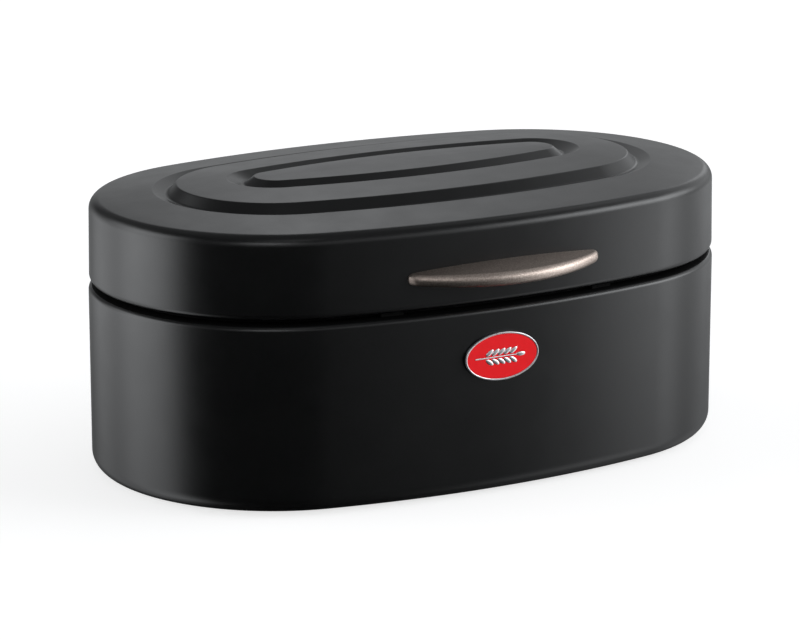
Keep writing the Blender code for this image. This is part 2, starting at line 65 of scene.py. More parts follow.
# The longest stretch between two rings of a pressing
PROFILE_STEP = 0.012
# The smallest radius that is left where a sheet turns a corner
LEAST_RADIUS = 0.0003

# The body pressing: insets are from the outline, heights from its base
SHEET = 0.0008
BASE_MIDDLE_INSET = 0.088
BASE_PANEL_INSET = 0.0215
BASE_STEP_INSET = 0.0185
BASE_STEP = 0.0016
BASE_STEP_RADIUS = 0.0012
BASE_STEP_INNER_RADIUS = 0.0006
BOTTOM_RADIUS = 0.009
BOTTOM_INNER_RADIUS = 0.0082
SHOULDER_Z = 0.0957
SHOULDER_RADIUS = 0.0028
SHOULDER_INNER_RADIUS = 0.0020
NECK_INSET = 0.0090
NECK_FOOT_RADIUS = 0.0005
NECK_FOOT_INNER_RADIUS = 0.0011
NECK_TOP_Z = body_high.z - BASE_Z
NECK_TOP_RADIUS = 0.00035
# How far below the shoulder the darker, duller coat that paints the seam's shade starts, on its ledge
# and on the neck
LEDGE_MARGIN = 0.0003
NECK_MARGIN = 0.0002

# The lid pressing
LID_EDGE_Z = lid_low.z - BASE_Z
LID_LIP_INSET = 0.0076
LID_EDGE_INSET = 0.0003
LID_EDGE_RADIUS = 0.0034
LID_TOP_INSET = 0.0009
LID_TOP_RADIUS = 0.006
LID_RIM_Z = 0.1407
PAD_RISE = lid_high.z - BASE_Z - LID_RIM_Z
# Where the ring's slope, carried on outwards, meets the lid's wall
RING_SLOPE = 0.0034 / 0.028
TOP_CORNER_Z = LID_RIM_Z - 0.0002 - 0.004 * RING_SLOPE
# Inset, height above the rim and corner radius of the embossing, from the ring to the pad
EMBOSSING = ((0.0332, 0.0032, 0.0020), (0.0412, 0.0006, 0.0024), (0.0466, 0.0062, 0.0015),
             (0.0718, 0.0084, 0.0016), (0.0797, 0.0050, 0.0016), (0.0845, 0.0092, 0.0013),
             (0.0945, PAD_RISE, 0.0))
EMBOSS_START = 0.0320
EMBOSS_END = 0.0847
EMBOSS_STRETCH = 0.0022

HANDLE_REACH = OVAL_Y - handle_low.y
HANDLE_HALF_LENGTH = 0.0543
HANDLE_TIP_STAND = 0.0028
HANDLE_TIP_ROUND = 0.0032
HANDLE_EDGE = 0.0057
HANDLE_BELLY = 0.0016
HANDLE_TOP_SLOPE = 0.175
HANDLE_GAP = 0.00005
HANDLE_END_GAP = 0.00002
HANDLE_STATIONS = 96
HANDLE_NOSE_STEPS = 20

BADGE_HALF_LENGTH = (badge_high.x - badge_low.x) / 2
BADGE_HALF_HEIGHT = (badge_high.z - badge_low.z) / 2
BADGE_X = (badge_high.x + badge_low.x) / 2
BADGE_Z = (badge_high.z + badge_low.z) / 2
BADGE_DEPTH = 0.0014
BADGE_SUNK = 0.0003
BADGE_RIM = 0.0010
BADGE_LIP = 0.00035
BADGE_LIP_STEPS = 6
# Depths below the badge's lip: the tray's floor, the enamel's underside and its edge
TRAY_FLOOR_DROP = 0.0006
FIELD_BACK_DROP = 0.0005
FIELD_EDGE_DROP = 0.0003
FIELD_GAP = 0.00002
FIELD_CROWN = 0.00025

EMBLEM_DROP = 0.0001
GRAIN_PAIRS = 5
GRAIN_PITCH = 0.0034
GRAIN_FIRST_X = 0.0062
GRAIN_SIDE = 0.0024
GRAIN_TIP_X = 0.0105
GRAIN_LEAN = math.radians(34)
GRAIN_HALF_SIZE = (0.0026, 0.0011, 0.0004)
STALK_LENGTH = 0.024
STALK_X = -0.0035
STALK_RADII = (0.0004, 0.0003)
STALK_FLATNESS = 0.6

VENT_COUNT = 7
VENT_PITCH = 0.015
VENT_RADIUS = 0.0025
VENT_Z = 0.058
VENT_PUNCH_REACH = 0.004
VENT_STEPS = 32

# Edges that turn by more than this are shaded sharp
SHARP_DEG = 50.0
HANDLE_SHARP_DEG = 60.0

# The corner bevel of the CAD nodes that stay
BEVEL_WIDTH = 0.00015
BEVEL_ANGLE_DEG = 40

FLOOR_RADIUS = 6.0
FLOOR_STEPS = 64
FLOOR_GREY = 0.55
FLOOR_GLOW = 0.72
# A mirror ray passes the floor with this strength at the near distance, and whole at the far one: the
# dimming is a painted shadow of the object on the floor, seen only in reflections
PASS_NEAR = 0.15
PASS_FAR = 0.75
PASS_LEAST = 0.5

# The camera and the point it looks at, both from the middle of the oval's base
CAMERA_PLACE = (-0.88345, -1.59003, 0.53867)
CAMERA_AIM = (-0.00362, 0.0, 0.06541)
CAMERA_LENS_MM = 162.22

# Most values of a noise texture lie between these two
NOISE_LOW = 0.3
NOISE_HIGH = 0.7

# Light panels round the object. Azimuths are degrees from the front towards +X, elevations degrees
# above the horizon. In each row: middle azimuth, half width, side blur, low and high edge, low and
# high blur, strength.
PANELS = (
    (-112.0, 21.0, 16.0, -60.0, 33.0, 20.0, 16.0, 2.2),
    (-131.0, 38.0, 30.0, -60.0, 6.0, 20.0, 24.0, 1.3),
    (-125.0, 26.0, 20.0, 10.0, 32.0, 12.0, 12.0, 1.5),
    (-165.0, 35.0, 30.0, 20.0, 66.0, 14.0, 14.0, 0.17),
    (60.0, 13.0, 20.0, -52.0, 32.0, 36.0, 16.0, 2.3),
    (62.0, 26.0, 20.0, 10.0, 34.0, 12.0, 12.0, 4.2),
    (92.0, 30.0, 36.0, -52.0, 0.0, 36.0, 16.0, 1.0),
    (104.0, 24.0, 20.0, 3.0, 56.0, 12.0, 24.0, 0.88),
    (25.0, 16.0, 20.0, -52.0, 30.0, 36.0, 20.0, 0.25),
    (165.0, 45.0, 30.0, -30.0, 10.0, 20.0, 14.0, 0.22),
    (150.0, 14.0, 12.0, -28.0, -9.0, 10.0, 8.0, 0.9),
    (156.0, 14.0, 16.0, 0.0, 17.0, 8.0, 8.0, 0.38),
    (152.0, 7.0, 16.0, 20.0, 44.0, 16.0, 12.0, 1.45),
    (135.0, 6.0, 8.0, 8.0, 30.0, 10.0, 10.0, 1.5),
    (0.0, 60.0, 40.0, 8.0, 30.0, 10.0, 14.0, 0.4),
    (-14.0, 20.0, 12.0, 50.0, 62.0, 8.0, 8.0, 0.9),
    (-33.0, 13.0, 10.0, 22.0, 36.0, 8.0, 8.0, 3.0),
    (0.0, 190.0, 6.0, 58.0, 95.0, 16.0, 6.0, 0.16),
)
ROOM_STRENGTH = 0.02


# ---------------------------------------------------------------- outlines and profiles

def outline_angles():
    """Normal angles round the oval: even steps on each end arc and on each side arc."""
    end = [TANGENT_ANGLE * step / END_STEPS for step in range(END_STEPS)]
    side_span = math.pi / 2 - TANGENT_ANGLE
    side = [TANGENT_ANGLE + side_span * step / SIDE_STEPS for step in range(SIDE_STEPS + 1)]
    quadrant = end + side
    half = quadrant + [math.pi - angle for angle in reversed(quadrant[:-1])]
    return half + [2 * math.pi - angle for angle in reversed(half[1:-1])]


def end_stretch(inset):
    """Factor that lengthens the embossed ovals, which lie between the ring and the pad."""
    share = (inset - EMBOSS_START) / (EMBOSS_END - EMBOSS_START)
    extra = EMBOSS_STRETCH * math.sin(math.pi * min(1.0, max(0.0, share)))
    return 1 + extra / (HALF_LENGTH - inset)


def oval_point(angle, inset, z):
    """Point of the outline, moved in by inset, where its normal has this angle."""
    along = abs(math.cos(angle))
    across = abs(math.sin(angle))
    if math.atan2(across, along) <= TANGENT_ANGLE + 1e-9:
        x = HALF_LENGTH - END_RADIUS + (END_RADIUS - inset) * along
        y = (END_RADIUS - inset) * across
    else:
        x = (SIDE_RADIUS - inset) * along
        y = (SIDE_RADIUS - inset) * across - (SIDE_RADIUS - HALF_WIDTH)
    x = math.copysign(x, math.cos(angle)) * end_stretch(inset)
    y = math.copysign(y, math.sin(angle))
    return Vector((x, OVAL_Y + y, BASE_Z + z))


def oval_rings(profile):
    """One ring round the oval for each point (inset, height) of a profile."""
    angles = outline_angles()
    return [[oval_point(angle, inset, z) for angle in angles] for inset, z in profile]


def wall_y(x, inset=0.0):
    """Distance of the side wall from the oval's long axis at this x."""
    return math.sqrt((SIDE_RADIUS - inset)**2 - x**2) - (SIDE_RADIUS - HALF_WIDTH)


def corner_arc(here, arriving, leaving, radius, arc_step_deg):
    """Points of the arc that rounds a corner between two unit directions."""
    turn = math.atan2(arriving.x * leaving.y - arriving.y * leaving.x, arriving.dot(leaving))
    if radius <= 0.0 or abs(turn) < 1e-4:
        return [here]
    start = here - arriving * radius * math.tan(abs(turn) / 2)
    side = math.copysign(1.0, turn)
    center = start + Vector((-arriving.y, arriving.x)) * radius * side
    spoke = start - center
    steps = max(3, round(math.degrees(abs(turn)) / arc_step_deg))
    points = []
    for step in range(steps + 1):
        part = turn * step / steps
        points.append(center + Vector((spoke.x * math.cos(part) - spoke.y * math.sin(part),
                                       spoke.x * math.sin(part) + spoke.y * math.cos(part))))
    return points


def rounded(corners, arc_step_deg=6.0):
    """Profile through corners given as (inset, height, radius), with its corners rounded."""
    points = [Vector(corners[0][:2])]
    for before, corner, after in zip(corners, corners[1:], corners[2:]):
        here = Vector(corner[:2])
        arriving = (here - Vector(before[:2])).normalized()
        leaving = (Vector(after[:2]) - here).normalized()
        points.extend(corner_arc(here, arriving, leaving, corner[2], arc_step_deg))
    points.append(Vector(corners[-1][:2]))
    return points


def split_long(points):
    """Add points so that no stretch of the profile is longer than PROFILE_STEP."""
    made = [points[0]]
    for point in points[1:]:
        start = made[-1]
        count = max(1, math.ceil((point - start).length / PROFILE_STEP))
        for step in range(1, count + 1):
            made.append(start.lerp(point, step / count))
    return made


# ---------------------------------------------------------------- meshes

def mesh_from(builder, name):
    """Turn a bmesh into a mesh whose normals point outwards."""
    bmesh.ops.recalc_face_normals(builder, faces=builder.faces)
    mesh = bpy.data.meshes.new(name)
    builder.to_mesh(mesh)
    builder.free()
    return mesh


def bridge(builder, lower, upper):
    """Join two rings of vertices with a band of four-sided faces."""
    count = len(lower)
    for index in range(count):
        following = (index + 1) % count
        builder.faces.new((lower[index], lower[following], upper[following], upper[index]))


def skin(name, rings):
    """Skin a row of rings and cap both of its ends."""
    builder = bmesh.new()
    rows = [[builder.verts.new(point) for point in ring] for ring in rings]
    for lower, upper in zip(rows, rows[1:]):
        bridge(builder, lower, upper)
    builder.faces.new(rows[0])
    builder.faces.new(rows[-1])
    return mesh_from(builder, name)


def ellipse_ring(half_length, half_height, z, steps=96):
    """Points round an ellipse that lies at height z."""
    turns = [2 * math.pi * step / steps for step in range(steps)]
    return [Vector((half_length * math.cos(turn), half_height * math.sin(turn), z))
            for turn in turns]


def finish_piece(name, mesh, material, body, sharp_deg=SHARP_DEG):
    """Shade a mesh, put it in the scene and let it ride on a body of the frame."""
    mesh.shade_smooth()
    mesh.set_sharp_from_angle(angle=math.radians(sharp_deg))
    mesh.materials.append(material)
    piece = bpy.data.objects.new(name, mesh)
    bpy.context.scene.collection.objects.link(piece)
    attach(piece, body)
    return piece


# ---------------------------------------------------------------- material helpers

def new_material(name):
    """A node material, with its tree and its Principled BSDF."""
    material = bpy.data.materials.new(name)
    material.use_nodes = True
    return material, material.node_tree, material.node_tree.nodes["Principled BSDF"]


def add_node(tree, kind, settings=None, **inputs):
    """Add a node, set its properties and the values of its named inputs."""
    node = tree.nodes.new(kind)
    for key, value in (settings or {}).items():
        setattr(node, key, value)
    for key, value in inputs.items():
        node.inputs[key.replace("_", " ")].default_value = value
    return node


def object_coords(tree):
    return tree.nodes.new("ShaderNodeTexCoord").outputs["Object"]


def noise(tree, coords, scale, detail=3.0):
    """Value of a noise texture at the given coordinates."""
    node = add_node(tree, "ShaderNodeTexNoise", Scale=scale, Detail=detail, Roughness=0.55)
    tree.links.new(coords, node.inputs["Vector"])
    return node.outputs["Fac"]


def map_range(tree, value, low, high, to_low, to_high, interpolation="LINEAR"):
    """The value, carried from the span low to high into the span to_low to to_high."""
    node = add_node(tree, "ShaderNodeMapRange", {"interpolation_type": interpolation})
    tree.links.new(value, node.inputs["Value"])
    for key, number in (("From Min", low), ("From Max", high), ("To Min", to_low), ("To Max", to_high)):
        node.inputs[key].default_value = number
    return node.outputs["Result"]


def bump(tree, height, distance, strength=1.0, normal=None):
    """Bump from a height, laid over another normal if one is given."""
    node = add_node(tree, "ShaderNodeBump", Distance=distance, Strength=strength)
    tree.links.new(height, node.inputs["Height"])
    if normal is not None:
        tree.links.new(normal, node.inputs["Normal"])
    return node.outputs["Normal"]


def link_tint(tree, shader, value, dark, light, low=0.0, high=1.0):
    """Colour the shader from dark to light as the value goes from low to high."""
    ramp = add_node(tree, "ShaderNodeValToRGB")
    first, last = ramp.color_ramp.elements
    first.position = low
    first.color = (*dark, 1.0)
    last.position = high
    last.color = (*light, 1.0)
    tree.links.new(value, ramp.inputs["Fac"])
    tree.links.new(ramp.outputs["Color"], shader.inputs["Base Color"])


def link_gloss(tree, shader, value, low, high):
    """Vary the shader's roughness between low and high with a noise value."""
    roughness = map_range(tree, value, NOISE_LOW, NOISE_HIGH, low, high)
    tree.links.new(roughness, shader.inputs["Roughness"])


# ---------------------------------------------------------------- materials

def powder_coat():
    """Satin black powder coat: a faint orange peel under a fine sandy grain."""
    material, tree, shader = new_material("powder_coat_satin")
    coords = object_coords(tree)
    link_tint(tree, shader, noise(tree, coords, 1400.0, 2.0),
              (0.0012, 0.0013, 0.0014), (0.0030, 0.0032, 0.0035), 0.35, 0.65)
    link_gloss(tree, shader, noise(tree, coords, 60.0), 0.30, 0.34)
    grain = bump(tree, noise(tree, coords, 2200.0, 2.0), 0.00002, 0.5)
    peel = bump(tree, noise(tree, coords, 420.0, 2.0), 0.00003, 0.35, grain)
    tree.links.new(peel, shader.inputs["Normal"])
    return material


def seam_shade_coat():
    """The same coat, darker and duller, for the seam: it paints the shade that falls in the gap under
    the lid.
    """
    material, tree, shader = new_material("powder_coat_seam_shade")
    coords = object_coords(tree)
    shader.inputs["Base Color"].default_value = (0.0012, 0.0012, 0.0012, 1.0)
    shader.inputs["Specular IOR Level"].default_value = 0.12
    link_gloss(tree, shader, noise(tree, coords, 300.0), 0.62, 0.75)
    tree.links.new(bump(tree, noise(tree, coords, 1500.0), 0.00004, 0.6), shader.inputs["Normal"])
    return material


def satin_nickel():
    """Warm nickel plate over a bead-blasted casting."""
    material, tree, shader = new_material("satin_nickel_blasted")
    coords = object_coords(tree)
    link_tint(tree, shader, noise(tree, coords, 1300.0),
              (0.37, 0.30, 0.262), (0.55, 0.475, 0.425), 0.35, 0.65)
    shader.inputs["Metallic"].default_value = 1.0
    link_gloss(tree, shader, noise(tree, coords, 1600.0), 0.40, 0.52)
    tree.links.new(bump(tree, noise(tree, coords, 1900.0), 0.00006, 0.8), shader.inputs["Normal"])
    return material


def badge_metal():
    """Bright metal of the badge's tray and emblem, with a cloudy polish."""
    material, tree, shader = new_material("badge_bright_metal")
    coords = object_coords(tree)
    shader.inputs["Base Color"].default_value = (0.78, 0.78, 0.80, 1.0)
    shader.inputs["Metallic"].default_value = 1.0
    link_gloss(tree, shader, noise(tree, coords, 900.0), 0.26, 0.36)
    return material


def red_enamel():
    """Glossy red enamel with a slightly uneven flow."""
    material, tree, shader = new_material("red_enamel_fired")
    coords = object_coords(tree)
    link_tint(tree, shader, noise(tree, coords, 350.0), (0.70, 0.0, 0.004), (0.80, 0.001, 0.006))
    shader.inputs["Roughness"].default_value = 0.22
    flow = bump(tree, noise(tree, coords, 260.0, 1.0), 0.00005, 0.4)
    tree.links.new(flow, shader.inputs["Normal"])
    return material


def zinc_plate():
    """Zinc-plated steel with fine lines along X."""
    material, tree, shader = new_material("zinc_plate")
    coords = object_coords(tree)
    stretch = add_node(tree, "ShaderNodeMapping")
    stretch.inputs["Scale"].default_value = (0.06, 1.0, 1.0)
    tree.links.new(coords, stretch.inputs["Vector"])
    drawn = stretch.outputs["Vector"]
    link_tint(tree, shader, noise(tree, coords, 240.0), (0.42, 0.43, 0.45), (0.60, 0.61, 0.62))
    shader.inputs["Metallic"].default_value = 1.0
    link_gloss(tree, shader, noise(tree, drawn, 2200.0), 0.25, 0.45)
    tree.links.new(bump(tree, noise(tree, drawn, 2600.0), 0.00002, 0.6), shader.inputs["Normal"])
    return material


def black_rubber():
    """Matte black rubber."""
    material, tree, shader = new_material("black_rubber")
    coords = object_coords(tree)
    link_tint(tree, shader, noise(tree, coords, 500.0),
              (0.0020, 0.0020, 0.0020), (0.0045, 0.0045, 0.0043))
    shader.inputs["Roughness"].default_value = 0.80
    shader.inputs["Specular IOR Level"].default_value = 0.10
    tree.links.new(bump(tree, noise(tree, coords, 1500.0), 0.00004, 0.6), shader.inputs["Normal"])
    return material


# ---------------------------------------------------------------- body and lid pressings

def body_corners():
    """Outer corners of the body from the base's middle up, then the inner ones back down."""
    panel = BASE_STEP + SHEET
    ledge = SHOULDER_Z - SHEET
    neck = NECK_INSET + SHEET
    outer = [(BASE_MIDDLE_INSET, BASE_STEP, 0.0),
             (BASE_PANEL_INSET, BASE_STEP, BASE_STEP_RADIUS),
             (BASE_STEP_INSET, 0.0, BASE_STEP_RADIUS),
             (0.0, 0.0, BOTTOM_RADIUS),
             (0.0, SHOULDER_Z, SHOULDER_RADIUS),
             (NECK_INSET, SHOULDER_Z, NECK_FOOT_RADIUS),
             (NECK_INSET, NECK_TOP_Z, NECK_TOP_RADIUS)]
    inner = [(neck, NECK_TOP_Z, NECK_TOP_RADIUS),
             (neck, ledge, NECK_FOOT_INNER_RADIUS),
             (SHEET, ledge, SHOULDER_INNER_RADIUS),
             (SHEET, SHEET, BOTTOM_INNER_RADIUS),
             (BASE_STEP_INSET, SHEET, BASE_STEP_INNER_RADIUS),
             (BASE_PANEL_INSET, panel, BASE_STEP_INNER_RADIUS),
             (BASE_MIDDLE_INSET, panel, 0.0)]
    return outer + inner


def lid_corners():
    """Outer corners of the lid from its lip over the top to the middle."""
    wall = [(LID_LIP_INSET, LID_EDGE_Z, 0.0), (LID_EDGE_INSET, LID_EDGE_Z, LID_EDGE_RADIUS),
            (LID_TOP_INSET, TOP_CORNER_Z, LID_TOP_RADIUS)]
    return wall + [(inset, LID_RIM_Z + rise, radius) for inset, rise, radius in EMBOSSING]


def inward(corners):
    """The same corners one sheet thickness further in, with radii to suit."""
    made = []
    for index, (inset, z, radius) in enumerate(corners):
        here = Vector((inset, z))
        legs = []
        if index > 0:
            legs.append((here - Vector(corners[index - 1][:2])).normalized())
        if index < len(corners) - 1:
            legs.append((Vector(corners[index + 1][:2]) - here).normalized())
        normals = [Vector((leg.y, -leg.x)) for leg in legs]
        miter = sum(normals, Vector((0.0, 0.0))).normalized()
        moved = here + miter * SHEET / miter.dot(normals[0])
        turn = 0.0
        if len(legs) == 2:
            turn = legs[0].x * legs[1].y - legs[0].y * legs[1].x
        fitted = 0.0
        if radius > 0.0:
            fitted = max(radius + math.copysign(SHEET, turn), LEAST_RADIUS)
        made.append((moved.x, moved.y, fitted))
    return made


def paint_seam_shade(shell, painted_shade):
    """Give the shoulder's ledge and the outside of the neck the darker, duller coat that paints the
    seam's shade.
    """
    shell.data.materials.append(painted_shade)
    for face in shell.data.polygons:
        outward = Vector((face.center.x, face.center.y - OVAL_Y)).dot(face.normal.xy)
        ledge = face.normal.z > 0.9 and face.center.z > BASE_Z + SHOULDER_Z - LEDGE_MARGIN
        neck = face.center.z > BASE_Z + SHOULDER_Z - NECK_MARGIN and outward > 0.0
        if ledge or neck:
            face.material_index = 1


def cut_hole(target, cutter):
    """Cut the hole for good and remove the cutter."""
    modifier = target.modifiers.new("hole", "BOOLEAN")
    modifier.operation = "DIFFERENCE"
    modifier.solver = "EXACT"
    modifier.object = cutter
    bpy.context.view_layer.update()
    shaped = bpy.data.meshes.new_from_object(
        target.evaluated_get(bpy.context.evaluated_depsgraph_get()))
    target.modifiers.remove(modifier)
    target.data = shaped
    bpy.data.objects.remove(cutter)


def cut_vents(shell):
    """Cut the row of air holes through the rear wall."""
    for index in range(VENT_COUNT):
        x = (index - (VENT_COUNT - 1) / 2) * VENT_PITCH
        ends = [ellipse_ring(VENT_RADIUS, VENT_RADIUS, reach, VENT_STEPS)
                for reach in (-VENT_PUNCH_REACH, VENT_PUNCH_REACH)]
        cutter = bpy.data.objects.new(f"vent_punch_{index}", skin("vent_punch", ends))
        bpy.context.scene.collection.objects.link(cutter)
        cutter.location = (x, OVAL_Y + wall_y(x), BASE_Z + VENT_Z)
        cutter.rotation_euler = (math.pi / 2, 0.0, 0.0)
        cut_hole(shell, cutter)
    shell.data.set_sharp_from_angle(angle=math.radians(SHARP_DEG))


def build_body(coat, painted_shade):
    rings = oval_rings(split_long(rounded(body_corners())))
    shell = finish_piece("body_skin", skin("body_skin", rings), coat, "body")
    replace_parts(shell, "body_shell")
    paint_seam_shade(shell, painted_shade)
    cut_vents(shell)


def lid_mesh():
    """Outer and inner skins of the lid, joined at the lip, each with a cap at its crown."""
    outer_corners = lid_corners()
    outer = split_long(rounded(outer_corners))
    inner = split_long(rounded(inward(outer_corners)))
    rings = oval_rings(outer + list(reversed(inner)))
    builder = bmesh.new()
    rows = [[builder.verts.new(point) for point in ring] for ring in rings]
    crown = len(outer) - 1
    for index, lower in enumerate(rows):
        upper = rows[(index + 1) % len(rows)]
        if index == crown:
            builder.faces.new(lower)
            builder.faces.new(upper)
        else:
            bridge(builder, lower, upper)
    return mesh_from(builder, "lid_skin")


def build_lid(coat):
    lid = finish_piece("lid_skin", lid_mesh(), coat, "lid")
    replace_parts(lid, "lid_shell")


# ---------------------------------------------------------------- handle

def handle_seat(x):
    """Distance of the lid's wall from the oval's long axis, behind the handle at this x."""
    return wall_y(x, (LID_EDGE_INSET + LID_TOP_INSET) / 2)


def handle_reach(x):
    """How far the crescent stands out from the oval's long axis, and its end's fullness."""
    seat = handle_seat(x)
    rise = HANDLE_REACH - handle_seat(HANDLE_HALF_LENGTH) - HANDLE_TIP_STAND
    radius = (HANDLE_HALF_LENGTH**2 + rise**2) / (2 * rise)
    reach = HANDLE_REACH - radius + math.sqrt(radius**2 - x**2)
    past = max(0.0, 1 - (HANDLE_HALF_LENGTH - abs(x)) / HANDLE_TIP_ROUND)
    fullness = math.sqrt(1 - past**2)
    return seat + (reach - seat) * fullness, fullness


def handle_section(x):
    """Flat underside, half-round front band and a top that rises a little to the wall."""
    reach, fullness = handle_reach(x)
    back = -handle_seat(x) - HANDLE_GAP
    front = min(-reach, back - HANDLE_GAP)
    depth = back - front
    half_edge = (HANDLE_EDGE + HANDLE_BELLY * (1 - (x / HANDLE_HALF_LENGTH)**2)) / 2
    tall = half_edge * max(fullness, 0.02) ** 0.6
    nose = min(half_edge, depth * 0.9)
    middle = handle_low.z + HANDLE_BELLY + HANDLE_EDGE - half_edge
    points = []
    for share in (0.0, 0.25, 0.5, 0.75):
        points.append(Vector((x, OVAL_Y + back + (front + nose - back) * share, middle - tall)))
    for step in range(HANDLE_NOSE_STEPS + 1):
        turn = math.radians(-90 + 180 * step / HANDLE_NOSE_STEPS)
        points.append(Vector((x, OVAL_Y + front + nose - nose * math.cos(turn),
                              middle + tall * math.sin(turn))))
    rise = (depth - nose) * HANDLE_TOP_SLOPE
    for share in (0.25, 0.5, 0.75, 1.0):
        points.append(Vector((x, OVAL_Y + front + nose + (back - front - nose) * share,
                              middle + tall + rise * share)))
    return points


def build_handle(metal):
    """Sections along the handle, closer together towards its tips."""
    half = HANDLE_HALF_LENGTH - HANDLE_END_GAP
    places = [-1 + 2 * step / HANDLE_STATIONS for step in range(HANDLE_STATIONS + 1)]
    stations = [half * (0.9 * math.sin(place * math.pi / 2) + 0.1 * place) for place in places]
    mesh = skin("handle_cast", [handle_section(x) for x in stations])
    handle = finish_piece("handle_cast", mesh, metal, "lid", HANDLE_SHARP_DEG)
    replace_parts(handle, "handle")


# ---------------------------------------------------------------- badge

def badge_matrix():
    """Local X along the badge, local Y up and local Z out of the front wall."""
    back = OVAL_Y - HALF_WIDTH - BADGE_SUNK
    return Matrix.Translation((BADGE_X, back, BADGE_Z)) @ Matrix.Rotation(math.pi / 2, 4, "X")


def tray_ring(inset, z):
    return ellipse_ring(BADGE_HALF_LENGTH - inset, BADGE_HALF_HEIGHT - inset, z)


def tray_mesh():
    """Oval tray: an outer wall, a rounded lip and a drop to the sunk field."""
    turns = [math.radians(90 * step / BADGE_LIP_STEPS) for step in range(BADGE_LIP_STEPS + 1)]
    shoulder = BADGE_DEPTH - BADGE_LIP
    rings = [tray_ring(0.0, 0.0)]
    for turn in turns:
        rings.append(tray_ring(BADGE_LIP * (1 - math.cos(turn)), shoulder + BADGE_LIP * math.sin(turn)))
    for turn in turns[1:]:
        rings.append(tray_ring(BADGE_RIM - BADGE_LIP + BADGE_LIP * math.sin(turn),
                               shoulder + BADGE_LIP * math.cos(turn)))
    rings.append(tray_ring(BADGE_RIM, BADGE_DEPTH - TRAY_FLOOR_DROP))
    return skin("badge_tray", rings)


def field_mesh():
    """Enamel field: a disc with a slightly domed top."""
    half_length = BADGE_HALF_LENGTH - BADGE_RIM - FIELD_GAP
    half_height = BADGE_HALF_HEIGHT - BADGE_RIM - FIELD_GAP
    rings = [ellipse_ring(half_length, half_height, BADGE_DEPTH - FIELD_BACK_DROP)]
    for share in (1.0, 0.98, 0.95, 0.9, 0.8, 0.6, 0.35, 0.1):
        crown = FIELD_CROWN * (1 - share**2)
        rings.append(ellipse_ring(half_length * share, half_height * share,
                                  BADGE_DEPTH - FIELD_EDGE_DROP + crown))
    return skin("badge_field", rings)


def emblem_mesh():
    """A lying ear of grain: a stalk, pairs of grains along it and one at its tip."""
    builder = bmesh.new()
    height = BADGE_DEPTH - EMBLEM_DROP
    grains = [(GRAIN_TIP_X, 0.0, 0.0)]
    for pair in range(GRAIN_PAIRS):
        x = GRAIN_FIRST_X - pair * GRAIN_PITCH
        grains.extend((x, side * GRAIN_SIDE, side * GRAIN_LEAN) for side in (-1, 1))
    for x, y, lean in grains:
        grown = bmesh.ops.create_uvsphere(builder, u_segments=20, v_segments=12, radius=1.0)
        shape = (Matrix.Translation((x, y, height)) @ Matrix.Rotation(lean, 4, "Z")
                 @ Matrix.Diagonal((*GRAIN_HALF_SIZE, 1.0)))
        bmesh.ops.transform(builder, matrix=shape, verts=grown["verts"])
    stalk = bmesh.ops.create_cone(builder, cap_ends=True, segments=16, radius1=STALK_RADII[0],
                                  radius2=STALK_RADII[1], depth=STALK_LENGTH)
    lift = Matrix.Translation((0.0, 0.0, height))
    lay = Matrix.Translation((STALK_X, 0.0, height)) @ Matrix.Rotation(math.pi / 2, 4, "Y")
    flat = lift @ Matrix.Diagonal((1.0, 1.0, STALK_FLATNESS, 1.0)) @ lift.inverted()
    bmesh.ops.transform(builder, matrix=flat @ lay, verts=stalk["verts"])
    mesh = bpy.data.meshes.new("badge_emblem")
    builder.to_mesh(mesh)
    builder.free()
    return mesh


def build_badge(metal, enamel):
    tray = tray_mesh()
    field = field_mesh()
    emblem = emblem_mesh()
    for mesh in (tray, field, emblem):
        mesh.transform(badge_matrix())
    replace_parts(finish_piece("badge_tray", tray, metal, "body"), "badge_frame")
    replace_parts(finish_piece("badge_field", field, enamel, "body"), "badge_inlay")
    finish_piece("badge_emblem", emblem, metal, "body")


# ---------------------------------------------------------------- CAD nodes that stay

def dress_nodes(zinc, rubber):
    """Materials and softened edges for the small hardware that keeps its CAD shape."""
    replaced = {"body_shell", "lid_shell", "handle", "badge_frame", "badge_inlay"}
    for name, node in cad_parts.items():
        if name in replaced:
            continue
        material = rubber if name.startswith(("foot", "buffer")) else zinc
        node.data.materials.clear()
        node.data.materials.append(material)
        softened = node.modifiers.new("soft_edges", "BEVEL")
        softened.width = BEVEL_WIDTH
        softened.segments = 2
        softened.limit_method = "ANGLE"
        softened.angle_limit = math.radians(BEVEL_ANGLE_DEG)
        softened.harden_normals = True


# ---------------------------------------------------------------- stage, camera and light

def floor_shadow_filter(tree):
    """Transparent shader that dims a ray near the object and passes all of it further out: a painted
    shadow of the object on the floor, seen in reflections.
    """
    clear = add_node(tree, "ShaderNodeBsdfTransparent")
    flatten = add_node(tree, "ShaderNodeMapping")
    flatten.inputs["Scale"].default_value = (1.0, HALF_LENGTH / HALF_WIDTH, 1.0)
    reach = add_node(tree, "ShaderNodeVectorMath", {"operation": "LENGTH"})
    tree.links.new(object_coords(tree), flatten.inputs["Vector"])
    tree.links.new(flatten.outputs["Vector"], reach.inputs[0])
    passed = map_range(tree, reach.outputs["Value"], PASS_NEAR, PASS_FAR, PASS_LEAST, 1.0)
    tree.links.new(passed, clear.inputs["Color"])
    return clear.outputs["BSDF"]


